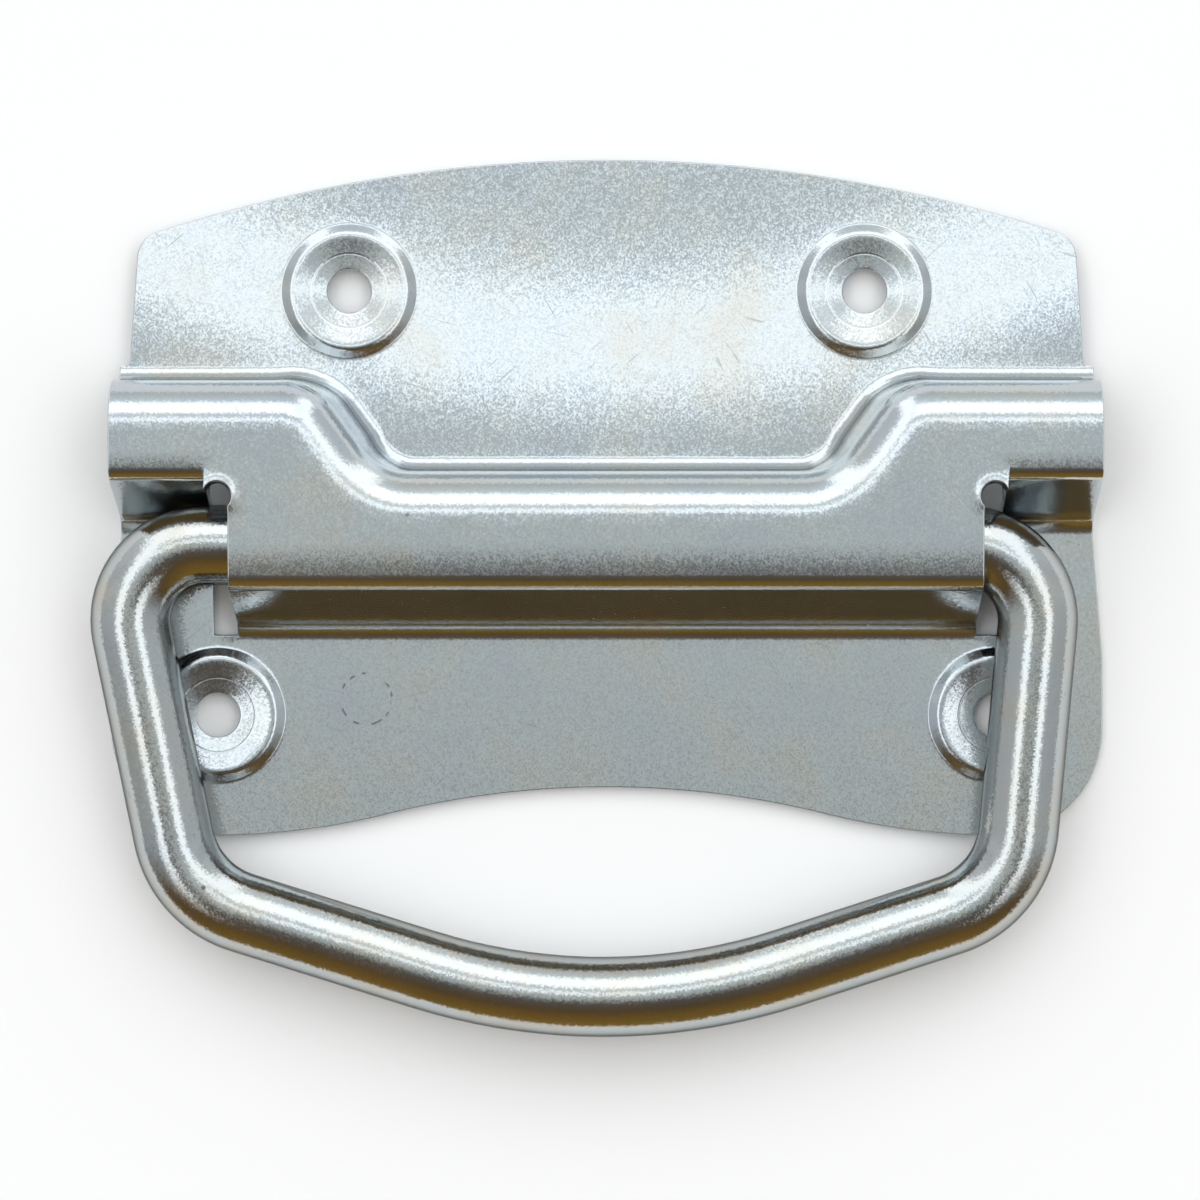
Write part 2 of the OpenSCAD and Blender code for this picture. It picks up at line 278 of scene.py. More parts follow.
class SheetFace:
    """Front face of the pressed sheet, gathered patch by patch in millimetres and welded by place."""

    # Decimals of a millimetre to which points have to agree to be one vertex
    WELD_DIGITS = 3
    # Shares of the pitch: least height of a triangle that is kept, distance of inner points from the rim,
    # and distance between their staggered rows
    SLIVER = 1e-3
    RIM_CLEARANCE = 0.62
    ROW_STEP = 0.866
    # Distance in millimetres within which the triangulation takes points for one
    SAME_PLACE = 1e-7

    def __init__(self) -> None:
        """Starts with no points."""
        self.points: list[Point3] = []
        self.faces: list[tuple[int, ...]] = []
        self._known: dict[Point3, int] = {}

    def vertex(self, point: Point3) -> int:
        """Number of the vertex at a point, new or already there."""
        key = tuple(round(c, self.WELD_DIGITS) for c in point)
        if key not in self._known:
            self._known[key] = len(self.points)
            self.points.append(tuple(point))
        return self._known[key]

    def band(self, rows: Sequence[Sequence[Point3]], closed: bool = False) -> None:
        """Adds quads between rows of equal length.

        Args:
            rows: Lines of points, side by side.
            closed: Whether each row is a ring.
        """
        for row, following in zip(rows, rows[1:]):
            count = len(row)
            for k in range(count if closed else count - 1):
                corners = (row[k], row[(k + 1) % count], following[(k + 1) % count], following[k])
                self._face([self.vertex(c) for c in corners])

    def flat(self, outline: Sequence[Point3], holes: Sequence[Sequence[Point3]], z: float,
             pitch: float, extra: Sequence[Point2] = ()) -> None:
        """Fills a flat area between an outline and its holes with even triangles.

        Args:
            outline: Closed loop of points.
            holes: Closed loops inside it.
            z: Height of the area's inner points.
            pitch: Distance between inner points.
            extra: Inner points where the area needs a finer mesh.
        """
        loops = [list(outline), *[list(h) for h in holes]]
        rim = [p for loop in loops for p in loop]
        edges, base = [], 0
        for loop in loops:
            edges += [(base + k, base + (k + 1) % len(loop)) for k in range(len(loop))]
            base += len(loop)
        fine = [(x, y, z) for x, y in extra]
        points = rim + fine + [(x, y, z) for x, y in self._filling(loops, rim + fine, pitch)]
        places = [Vector(p[:2]) for p in points]
        made, _, triangles, origins, _, _ = delaunay_2d_cdt(places, edges, [], 0, self.SAME_PLACE)
        solid = [points[o[0]] if o else (v.x, v.y, z) for v, o in zip(made, origins)]
        for triangle in triangles:
            corners = [solid[k] for k in triangle]
            (ax, ay), (bx, by), (cx, cy) = (c[:2] for c in corners)
            # Points in line on a rim leave slivers, which have no true direction
            if abs((bx - ax) * (cy - ay) - (by - ay) * (cx - ax)) < self.SLIVER * pitch:
                continue
            x, y = (ax + bx + cx) / 3, (ay + by + cy) / 3
            if holds(loops[0], x, y) and not any(holds(h, x, y) for h in loops[1:]):
                self._face([self.vertex(c) for c in corners])

    def _filling(self, loops: list[list[Point3]], rim: list[Point3], pitch: float) -> list[Point2]:
        """Staggered inner points of a flat area, clear of its rim.

        Args:
            loops: Outline and holes.
            rim: Points to stay clear of.
            pitch: Distance between points.

        Returns:
            Plan points.
        """
        tree = KDTree(len(rim))
        for k, p in enumerate(rim):
            tree.insert((p[0], p[1], 0), k)
        tree.balance()
        xs, ys = [p[0] for p in rim], [p[1] for p in rim]
        out, row, y = [], 0, min(ys) + 0.5 * pitch
        while y < max(ys):
            x = min(xs) + pitch * (0.25 + 0.5 * (row % 2))
            while x < max(xs):
                clear = tree.find((x, y, 0))[2] > self.RIM_CLEARANCE * pitch
                if clear and holds(loops[0], x, y) and not any(holds(h, x, y) for h in loops[1:]):
                    out.append((x, y))
                x += pitch
            row += 1
            y += pitch * self.ROW_STEP
        return out

    def _face(self, corners: list[int]) -> None:
        """Keeps a face if its corners differ."""
        if len(set(corners)) == len(corners):
            self.faces.append(tuple(corners))

    def mesh(self, name: str, press: Callable[[Point3], Point3]) -> bpy.types.Mesh:
        """Makes the mesh, with its faces to the front.

        Args:
            name: Name of the mesh.
            press: Last shaping of each point, in millimetres.

        Returns:
            An open mesh in metres, in the part's frame.
        """
        mesh = bpy.data.meshes.new(name)
        shaped = [press(p) for p in self.points]
        places = [(x * MM, (y - HINGE_BELOW_ORIGIN) * MM, z * MM) for x, y, z in shaped]
        mesh.from_pydata(places, [], self.faces)
        work = bmesh.new()
        work.from_mesh(mesh)
        bmesh.ops.recalc_face_normals(work, faces=work.faces)
        if sum(f.normal.z * f.calc_area() for f in work.faces) < 0:
            bmesh.ops.reverse_faces(work, faces=work.faces)
        work.to_mesh(mesh)
        work.free()
        return mesh


def plain_mesh(source: bpy.types.Object, name: str) -> bpy.types.Object:
    """Turns an object with its modifiers into a plain mesh object, and removes the source.

    Args:
        source: Object to evaluate.
        name: Name of the result.

    Returns:
        A new object at the origin, with no modifiers.
    """
    graph = bpy.context.evaluated_depsgraph_get()
    graph.update()
    mesh = bpy.data.meshes.new_from_object(source.evaluated_get(graph), depsgraph=graph)
    old = source.data
    bpy.data.objects.remove(source)
    if isinstance(old, bpy.types.Mesh) and old.users == 0:
        bpy.data.meshes.remove(old)
    mesh.name = name
    piece = bpy.data.objects.new(name, mesh)
    bpy.context.scene.collection.objects.link(piece)
    return piece


@dataclass(frozen=True)
class ZincPlating:
    """Bright blue-passivated zinc on cold-rolled steel.

    The bright metal has soft-edged reflections, a blue tinge, faint straw patches, a fine crystalline grain
    that sparkles, and hairline scratches from handling.
    """

    name: str
    metal: str
    straw: str
    blue: str
    roughness: float
    # Tint of the reflection at grazing angles
    edge_tint: str = "#ffffff"
    # Patches: size, places of blue, plain and straw in their noise, and how much rougher straw is than blue
    patch_mm: float = 9.0
    patch_stops: tuple[float, float, float] = (0.34, 0.52, 0.70)
    patch_rough: float = 0.12
    # Crystal grains: size and lean
    grain_mm: float = 0.15
    grain_lean: float = 0.065
    # Scratches: width, heading in radians and length in widths of each set, and range of their noise
    scratch_mm: float = 0.3
    scratch_sets: tuple[Point2, ...] = ((0.5, 26.0), (2.3, 34.0), (1.3, 20.0))
    scratch_range: Point2 = (0.73, 0.80)
    scratch_colour: str = "#6d7276"
    scratch_cover: float = 0.22
    scratch_rough: float = 0.12
    # Pinholes: distance from each other, and outer and inner edge as shares of that
    speck_mm: float = 14.0
    speck_range: Point2 = (0.024, 0.012)
    speck_colour: str = "#4f4638"
    speck_cover: float = 0.8
    # Ring that a press pin left: centre, radius, half its line's width, and its breaks
    ring: Point2 | None = None
    ring_r: float = 2.6
    ring_line: float = 0.11
    ring_break_mm: float = 1.1
    ring_range: Point2 = (0.50, 0.56)
    ring_cover: float = 0.55

    def material(self) -> bpy.types.Material:
        """Builds the material.

        Returns:
            A material on Object coordinates.
        """
        made = bpy.data.materials.new(self.name)
        made.use_nodes = True
        tree = made.node_tree
        tree.nodes.clear()
        place = add(tree, "ShaderNodeTexCoord").outputs["Object"]
        # Clouds in the plating, from bluish through plain to straw
        patches = add(tree, "ShaderNodeTexNoise", {
            "Vector": place, "Scale": per_mm(self.patch_mm), "Detail": 4.0, "Roughness": 0.55}).outputs["Fac"]
        tints = zip(self.patch_stops, (self.blue, self.metal, self.straw))
        colour = colour_ramp(tree, patches, [(stop, code, 1.0) for stop, code in tints]).outputs["Color"]
        # Small dark marks: pinholes, and the press pin's ring where there is one
        marks = self._specks(tree, place)
        if self.ring:
            marks = reckon(tree, "MAXIMUM", marks, self._ring(tree, place))
        colour = blend(tree, marks, colour, linear(self.speck_colour))
        # Scratches are a little darker and duller than the plating
        scratches = self._scratches(tree, place)
        hair = reckon(tree, "MULTIPLY", scratches, self.scratch_cover)
        colour = blend(tree, hair, colour, linear(self.scratch_colour))
        rough = reckon(tree, "MULTIPLY_ADD", patches, self.patch_rough, self.roughness - self.patch_rough / 2)
        rough = reckon(tree, "MULTIPLY_ADD", scratches, self.scratch_rough, rough)
        shader = add(tree, "ShaderNodeBsdfPrincipled", {
            "Base Color": colour, "Metallic": 1.0, "Roughness": rough,
            "Specular Tint": linear(self.edge_tint), "Normal": self._sparkle(tree, place)})
        add(tree, "ShaderNodeOutputMaterial", {"Surface": shader.outputs["BSDF"]})
        return made

    def _sparkle(self, tree: bpy.types.NodeTree, place: bpy.types.NodeSocket) -> bpy.types.NodeSocket:
        """Crystal grains that each lean their own way, drawn coarser than real ones so that they show.

        Args:
            tree: Node tree to add to.
            place: Object coordinates.

        Returns:
            The surface's direction.
        """
        grains = add(tree, "ShaderNodeTexVoronoi", {
            "Vector": place, "Scale": per_mm(self.grain_mm)}).outputs["Color"]
        lean = reckon_vector(tree, "SUBTRACT", grains, (0.5, 0.5, 0.5))
        scaled = add(tree, "ShaderNodeVectorMath", {0: lean, "Scale": self.grain_lean}, operation="SCALE")
        outward = add(tree, "ShaderNodeNewGeometry").outputs["Normal"]
        leaning = reckon_vector(tree, "ADD", outward, scaled.outputs[0])
        return reckon_vector(tree, "NORMALIZE", leaning)

    def _scratches(self, tree: bpy.types.NodeTree, place: bpy.types.NodeSocket) -> bpy.types.NodeSocket:
        """Hairlines in three directions, drawn a little coarser than real ones so that they show.

        Args:
            tree: Node tree to add to.
            place: Object coordinates.

        Returns:
            1 on a scratch and 0 beside it.
        """
        layers = []
        for turn, stretch in self.scratch_sets:
            laid = add(tree, "ShaderNodeMapping", {
                "Vector": place, "Rotation": (0.0, 0.0, turn), "Scale": (1.0, stretch, 1.0)},
                       vector_type="TEXTURE").outputs["Vector"]
            lines = add(tree, "ShaderNodeTexNoise", {
                "Vector": laid, "Scale": per_mm(self.scratch_mm), "Detail": 1.0, "Roughness": 0.4})
            layers.append(ranged(tree, lines.outputs["Fac"], *self.scratch_range))
        both = reckon(tree, "MAXIMUM", layers[0], layers[1])
        return reckon(tree, "MAXIMUM", both, layers[2])

    def _specks(self, tree: bpy.types.NodeTree, place: bpy.types.NodeSocket) -> bpy.types.NodeSocket:
        """Sparse brown pinholes in the plating, about half a millimetre wide.

        Args:
            tree: Node tree to add to.
            place: Object coordinates.

        Returns:
            How much a pinhole covers.
        """
        cells = add(tree, "ShaderNodeTexVoronoi", {
            "Vector": place, "Scale": per_mm(self.speck_mm), "Randomness": 1.0}).outputs["Distance"]
        return ranged(tree, cells, *self.speck_range, self.speck_cover)

    def _ring(self, tree: bpy.types.NodeTree, place: bpy.types.NodeSocket) -> bpy.types.NodeSocket:
        """Faint broken ring that a press pin left in the sheet.

        Args:
            tree: Node tree to add to.
            place: Object coordinates.

        Returns:
            How much the ring covers.
        """
        x, y = self.ring
        flat = reckon_vector(tree, "MULTIPLY", place, (1.0, 1.0, 0.0))
        reach = add(tree, "ShaderNodeVectorMath", {
            0: flat, 1: (x * MM, (y - HINGE_BELOW_ORIGIN) * MM, 0.0)}, operation="DISTANCE").outputs["Value"]
        line = reckon(tree, "COMPARE", reach, self.ring_r * MM, self.ring_line * MM)
        breaks = add(tree, "ShaderNodeTexNoise", {
            "Vector": place, "Scale": per_mm(self.ring_break_mm), "Detail": 1.0}).outputs["Fac"]
        return reckon(tree, "MULTIPLY", line, ranged(tree, breaks, *self.ring_range, self.ring_cover))


SHEET_ZINC = ZincPlating(
    name="bright_zinc_sheet", metal="#c6cdcf", straw="#c9cac6", blue="#c3cad0", roughness=0.15,
    ring=(-24.34, -15.49))
ROD_ZINC = ZincPlating(
    name="bright_zinc_rod", metal="#c0c4c2", straw="#c2c0b8", blue="#bcc2c4", roughness=0.15,
    edge_tint="#8a8a8a", grain_lean=0.08, patch_mm=6.0)


@dataclass
class BackPlate:
    """Pressed sheet with a stepped rib, ears, a lanced barrel and four screw dishes. Sizes in millimetres."""

    sheet_t: float = 1.2
    front_z: float = 12.65
    # Upper plate
    plate_top: float = 39.0
    plate_top_r: float = 145.0
    plate_root_half: float = 48.2
    plate_side_lean: float = 3.6
    plate_corner_r: float = 2.8
    # Shoulder beside each ear's end: its rise, and how far its rounded foot is out and up
    shoulder_rise: float = 0.5
    shoulder_foot: Point2 = (0.1, 0.12)
    # Raised rib
    ear_half: float = 49.1
    ear_top: float = 16.3
    barrel_top: float = 7.25
    barrel_half: float = 37.3
    step_x: float = 23.1
    step_angle: float = 54.0
    step_round_r: float = 6.5
    step_fillet_r: float = 6.5
    # How far the brow's sharp corner is set back from the step's line
    brow_set: float = 0.1
    brow_r: float = 4.4
    root_r: float = 1.5
    straight_draft: float = 0.35
    slope_draft: float = 1.8
    # Returns
    return_angle: float = 70.0
    barrel_lip: float = -4.096
    ear_lip: float = 6.652
    barrel_lip_r: float = 1.9
    ear_lip_r: float = 1.5
    # Slow slope before each lip: length and drop, and the share of it that is rounded
    barrel_ease: Point2 = (3.0, 0.3)
    ear_ease: Point2 = (1.8, 0.18)
    ease_round: float = 0.45
    barrel_foot_r: float = 1.9
    ear_foot_r: float = 2.0
    # Slots
    slot_w: float = 2.4
    slot_end: float = -9.0
    relief_r: float = 1.45
    relief_y: float = 4.8
    relief_out: float = 1.05
    relief_burr: float = 0.16
    burr_reach: float = 0.42
    burr_arc: Point2 = (170.0, 30.0)
    burr_rings: tuple[float, ...] = (0.32, 0.56, 0.84, 1.2)
    # Lower flange
    lobe_half: float = 39.3
    lobe_drop: float = 18.5
    lobe_r: float = 10.8
    lobe_sweep_r: float = 70.0
    arch_drop: float = 24.45
    flare_drop: float = 11.5
    # Screw dishes
    hole_r: float = 2.2
    dish_r: float = 7.1
    upper_hole: Point2 = (26.0, 25.7)
    lower_hole: Point2 = (39.3, -17.1)
    # Bow of the loose sheet: its steepest slope, and the height and half width of the line where that is
    bow_slope: float = 0.088
    bow_middle: float = 20.0
    bow_half: float = 8.5
    # That line curves up towards the sides, by this climb at this distance from mid-width
    bow_climb: float = 4.5
    bow_side: float = 30.0
    # The bow fades out up the rib's wall, from this far above the plate to this far below the front
    bow_fade: Point2 = (1.5, 1.0)
    # It reaches this far below the barrel's brow
    bow_margin: float = 2.0
    # Broken edges: width, steps, and the least turn in degrees that counts as an edge
    edge_break: float = 0.13
    edge_steps: int = 2
    edge_angle: float = 60.0
    # Mesh: distances between points, pieces of straights and steps of bends
    pitch: float = 1.0
    return_pitch: float = 1.4
    corner_pitch: float = 0.4
    relief_pitch: float = 0.35
    burr_pitch: float = 0.3
    bend_steps: int = 10
    step_pieces: tuple[int, int, int] = (18, 6, 14)
    wall_pieces: int = 3
    return_pieces: int = 5
    dish_sides: int = 56
    # Straight past each end bend of a section, longer than any bend takes up
    overrun: float = 9.0
    # Points this close to the front's height belong to its flat
    flat_within: float = 0.01

    def build(self, finish: bpy.types.Material) -> bpy.types.Object:
        """Builds the plate.

        Args:
            finish: Material of the sheet.

        Returns:
            A closed plain mesh in the part's frame.
        """
        face = SheetFace()
        rib = self._rib_rows()
        barrel = self._return_rows(
            self.barrel_lip, self.barrel_ease, (self.barrel_lip_r, self.barrel_foot_r),
            (-self.barrel_half, self.barrel_half))
        ear = self._return_rows(
            self.ear_lip, self.ear_ease, (self.ear_lip_r, self.ear_foot_r),
            (self.barrel_half + self.slot_w, self.ear_half))
        for rows in (rib, barrel, ear, [mirrored(r) for r in ear]):
            face.band(rows)
        front = self._front_outline(rib[0], barrel[0], ear)
        face.flat(front, [], self.front_z, self.pitch, self._burr_points())
        upper = self._dishes(face, self.upper_hole)
        lower = self._dishes(face, self.lower_hole)
        face.flat(self._upper_outline(rib[-1]), upper, self.sheet_t, self.pitch)
        face.flat(self._flange_outline(barrel, ear[-1]), lower, self.sheet_t, self.pitch)
        source = bpy.data.objects.new("plate_face", face.mesh("plate_face", self._bowed))
        source.data.shade_smooth()
        bpy.context.scene.collection.objects.link(source)
        wall = source.modifiers.new("thickness", "SOLIDIFY")
        wall.thickness = self.sheet_t * MM
        wall.offset = -1.0
        edge = source.modifiers.new("sheared_edge", "BEVEL")
        edge.width = self.edge_break * MM
        edge.segments = self.edge_steps
        edge.limit_method = "ANGLE"
        edge.angle_limit = math.radians(self.edge_angle)
        # A few short edges on the sheet's back would otherwise hold the whole width down
        edge.use_clamp_overlap = False
        # The broken edge's faces are told apart by their slot until the shading is set
        edge.material = 1
        for _ in range(2):
            source.data.materials.append(finish)
        piece = plain_mesh(source, "pressed_plate")
        self._shade_to_edges(piece.data)
        piece.data.materials.clear()
        piece.data.materials.append(finish)
        return piece

    def _shade_to_edges(self, mesh: bpy.types.Mesh) -> None:
        """Shades every face straight up to the broken edges, which alone take the turn.

        Args:
            mesh: Sheet with its broken edges in the second slot, which all go to the first.
        """
        faces = [Vector() for _ in mesh.vertices]
        edges = [Vector() for _ in mesh.vertices]
        for face in mesh.polygons:
            for k in face.vertices:
                (edges if face.material_index else faces)[k] += face.normal * (face.area / MM ** 2)
        mesh.polygons.foreach_set("material_index", [0] * len(mesh.polygons))
        mesh.normals_split_custom_set_from_vertices(
            [(whole if whole.length else turn).normalized() for whole, turn in zip(faces, edges)])

    def _step_path(self) -> list[Point2]:
        """Line of the rib's brow from mid-width to the right ear's end.

        Returns:
            Plan points.
        """
        rise = self.ear_top - self.barrel_top
        run = rise / math.tan(math.radians(self.step_angle))
        corners = [(0.0, self.barrel_top), (self.step_x, self.barrel_top),
                   (self.step_x + run, self.ear_top), (self.ear_half, self.ear_top)]
        line = rounded(corners, [0.0, self.step_fillet_r, self.step_round_r, 0.0], self.bend_steps)
        first, second = line[1:self.bend_steps + 2], line[self.bend_steps + 2:-1]
        inner, slant, outer = self.step_pieces
        return (spread(line[0], first[0], inner)[:-1] + first + spread(first[-1], second[0], slant)[1:-1]
                + second + spread(second[-1], line[-1], outer)[1:])

    def _rib_rows(self) -> list[list[Point3]]:
        """Rows of the rib's wall, from its flat front over the brow and down to the upper plate.

        Returns:
            Rows from the left ear's end to the right one's.
        """
        path = self._step_path()
        columns = []
        for k, point in enumerate(path):
            before, after = path[max(0, k - 1)], path[min(len(path) - 1, k + 1)]
            heading = math.atan2(after[1] - before[1], after[0] - before[0])
            slope = heading / math.radians(self.step_angle)
            run = self.straight_draft + (self.slope_draft - self.straight_draft) * slope
            section = rounded(
                [(-self.overrun, self.front_z), (-self.brow_set, self.front_z),
                 (run, self.sheet_t), (run + self.overrun, self.sheet_t)],
                [0.0, self.brow_r, self.root_r, 0.0], self.bend_steps)[1:-1]
            half = self.bend_steps + 1
            wall = spread(section[half - 1], section[half], self.wall_pieces)[1:-1]
            columns.append([(point[0] - math.sin(heading) * w, point[1] + math.cos(heading) * w, z)
                            for w, z in section[:half] + wall + section[half:]])
        # The ear's end is cut square
        columns[-1] = [(self.ear_half, y, z) for _, y, z in columns[-1]]
        columns[0] = [(0.0, y, z) for _, y, z in columns[0]]
        right = [list(row) for row in zip(*columns)]
        return [mirrored(row)[:-1] + row for row in right]

    def _return_rows(self, lip: float, ease: Point2, radii: Point2, ends: Point2) -> list[list[Point3]]:
        """Rows of a return, from the flat front over its lip and down to the flange.

        Args:
            lip: Height of its sharp front corner.
            ease: Length and drop of the slow slope that leads up to the lip.
            radii: Radius at its lip and at its foot.
            ends: Its left and right ends.

        Returns:
            Rows from the front to the flange.
        """
        slope = math.tan(math.radians(self.return_angle))
        foot = lip - (self.front_z - self.sheet_t) / slope
        length, drop = ease
        ease_r = self.ease_round * length / math.tan(math.atan2(drop, length) / 2)
        section = rounded(
            [(lip + self.overrun, self.front_z), (lip + length, self.front_z),
             (lip - drop / slope, self.front_z - drop), (foot, self.sheet_t),
             (foot - self.overrun, self.sheet_t)],
            [0.0, ease_r, *radii, 0.0], self.bend_steps)[1:-1]
        half = 2 * (self.bend_steps + 1)
        wall = spread(section[half - 1], section[half], self.return_pieces)[1:-1]
        xs = [x for x, in stepped([(e,) for e in ends], self.return_pitch)]
        return [[(x, y, z) for x in xs] for y, z in section[:half] + wall + section[half:]]

    def _front_outline(self, brow: list[Point3], barrel: list[Point3],
                       ear: list[list[Point3]]) -> list[Point3]:
        """Outline of the flat front, with a relief hole at the top of each slot.

        Args:
            brow: First row of the rib's wall.
            barrel: First row of the barrel's return.
            ear: Rows of the right ear's return.

        Returns:
            A closed loop, which follows the ears' slow slopes beside the slots.
        """
        relief = (self.barrel_half + self.relief_out, self.relief_y)
        low = -180 + math.degrees(math.acos(self.relief_out / self.relief_r))
        high = math.degrees(math.acos((self.slot_w - self.relief_out) / self.relief_r))
        hole = arc(relief, self.relief_r, low + 360, high, self.relief_pitch)
        slot = stepped([barrel[-1][:2], hole[0]], self.pitch)[1:-1] + hole
        slope = [row[0] for row in ear[1:self.bend_steps + 1]]
        side = stepped([ear[0][-1][:2], brow[-1][:2]], self.pitch)[1:-1]
        right = at_height(slot, self.front_z) + slope[::-1] + list(ear[0]) + at_height(side, self.front_z)
        return list(barrel) + right + list(reversed(brow)) + mirrored(right)

    def _burr_points(self) -> list[Point2]:
        """Rings of points round the relief holes, fine enough for their burrs.

        Returns:
            Plan points.
        """
        centre = (self.barrel_half + self.relief_out, self.relief_y)
        rings = []
        for reach in self.burr_rings:
            ring = arc(centre, self.relief_r + reach, *self.burr_arc, self.burr_pitch)
            rings += ring + mirrored(ring)
        return rings

    def _upper_outline(self, root: list[Point3]) -> list[Point3]:
        """Outline of the upper plate, from the rib's foot up its leaning sides to the crowned top.

        Args:
            root: Last row of the rib's wall.

        Returns:
            A closed loop.
        """
        lean = math.radians(self.plate_side_lean)
        up = Vector((-math.sin(lean), math.cos(lean)))
        inward = Vector((-math.cos(lean), -math.sin(lean)))
        foot = Vector((self.plate_root_half, self.ear_top))
        crown = Vector((0.0, self.plate_top - self.plate_top_r))
        # Centre of the corner's arc: inside both the side and the crown by the corner's radius
        inset = foot + inward * self.plate_corner_r
        reach = inset - crown
        along = reach.dot(up)
        inner_r = self.plate_top_r - self.plate_corner_r
        centre = inset + up * (math.sqrt(along ** 2 - reach.dot(reach) + inner_r ** 2) - along)
        start = centre - inward * self.plate_corner_r
        arm = centre - crown
        top_angle = math.degrees(math.atan2(arm.y, arm.x))
        side_angle = -math.degrees(math.atan2(inward.y, -inward.x))
        corner = arc(tuple(centre), self.plate_corner_r, side_angle, top_angle, self.corner_pitch)
        top = arc(tuple(crown), self.plate_top_r, top_angle, 180 - top_angle, self.pitch)
        rim = root[-1]
        shoulder = (foot + up * ((rim[1] + self.shoulder_rise - foot.y) / up.y)).to_tuple()
        out, rise = self.shoulder_foot
        side = [rim[:2], (shoulder[0] + out, rim[1] + rise), shoulder, tuple(start)]
        right = at_height(stepped(side, self.pitch)[1:-1] + corner, self.sheet_t)
        return list(root) + right + at_height(top[1:-1], self.sheet_t) + mirrored(right)

    def _flange_outline(self, barrel: list[list[Point3]], ear: list[Point3]) -> list[Point3]:
        """Outline of the lower flange, from the returns' feet round the lobes to the arch.

        Args:
            barrel: Rows of the barrel's return.
            ear: Last row of the right ear's return.

        Returns:
            A closed loop.
        """
        slot_x = self.barrel_half + self.slot_w
        foot_end = [row[-1] for row in reversed(barrel) if row[-1][1] < self.slot_end]
        flange_half = self.lobe_half + self.lobe_r
        floor = -self.lobe_drop - self.lobe_r
        slot = stepped([(slot_x, self.slot_end), ear[0][:2]], self.pitch)
        flare = [ear[-1][:2], (flange_half, -self.flare_drop), (flange_half, -self.lobe_drop)]
        side = stepped(flare, self.pitch)
        lobe = arc((self.lobe_half, -self.lobe_drop), self.lobe_r, 0, -90, self.pitch)
        sweep_y = floor + self.lobe_sweep_r
        rise = sweep_y + self.arch_drop
        # Radius at which the arch runs smoothly into both sweeps
        arch_r = (self.lobe_half ** 2 + rise ** 2 - self.lobe_sweep_r ** 2) / (2 * (self.lobe_sweep_r - rise))
        lean = math.degrees(math.atan2(rise + arch_r, self.lobe_half))
        sweep = arc((self.lobe_half, sweep_y), self.lobe_sweep_r, -90, -180 + lean, self.pitch)
        arch = arc((0.0, -self.arch_drop - arch_r), arch_r, lean, 180 - lean, self.pitch)
        right = [p[:2] for p in ear[:-1]] + side + lobe[1:] + sweep[1:-1]
        right = foot_end[1:] + at_height(slot[:-1] + right, self.sheet_t)
        return list(barrel[-1]) + right + at_height(arch, self.sheet_t) + mirrored(right)

    def _dishes(self, face: SheetFace, hole: Point2) -> list[list[Point3]]:
        """Adds the pair of pressed screw dishes at a hole, left and right.

        Args:
            face: Sheet to add to.
            hole: Right-hand hole's centre.

        Returns:
            The dishes' outer rings.
        """
        # Radius and rise: the cone up to a scored ring, on to the crest, and down outside it
        profile = [
            (self.hole_r, 0.10), (2.6, 0.17), (3.2, 0.25), (3.62, 0.313), (3.70, 0.325), (3.78, 0.312),
            (3.86, 0.350), (3.94, 0.362), (4.6, 0.465), (5.2, 0.56), (5.45, 0.595), (5.65, 0.605),
            (5.82, 0.585), (5.98, 0.53), (6.15, 0.44), (6.45, 0.25), (6.75, 0.06), (6.85, 0.015),
            (self.dish_r, 0.0),
        ]
        angles = [math.tau * k / self.dish_sides for k in range(self.dish_sides)]
        rings = []
        for side in (1, -1):
            centre = (side * hole[0], hole[1])
            rows = []
            for radius, rise in profile:
                rows.append([(centre[0] + radius * math.cos(a), centre[1] + radius * math.sin(a),
                              self.sheet_t + rise) for a in angles])
            face.band(rows, closed=True)
            rings.append(rows[-1])
        return rings

    def _bowed(self, point: Point3) -> Point3:
        """Last shaping of the sheet: burrs at the slots, and an upper plate that is bowed up along the rib.

        Args:
            point: Point of the sheet's front face.

        Returns:
            The point where the finished sheet has it.
        """
        x, y, z = point
        if z > self.front_z - self.flat_within:
            # The slots' ends are left with a raised burr
            reach = math.hypot(abs(x) - self.barrel_half - self.relief_out, y - self.relief_y) - self.relief_r
            return x, y, z + self.relief_burr * bump(reach / self.burr_reach)
        above, below = self.bow_fade
        low = 1 - smooth_step(self.sheet_t + above, self.front_z - below, z)
        # The barrel's return and the flange aren't bowed
        if y < self.barrel_top - self.bow_margin or low <= 0:
            return point
        middle = self.bow_middle + self.bow_climb * (x / self.bow_side) ** 2
        share = math.erf((self.plate_top - middle) / self.bow_half) - math.erf((y - middle) / self.bow_half)
        lift = 0.5 * math.sqrt(math.pi) * self.bow_half * self.bow_slope * share
        return x, y, z + low * max(0.0, lift)


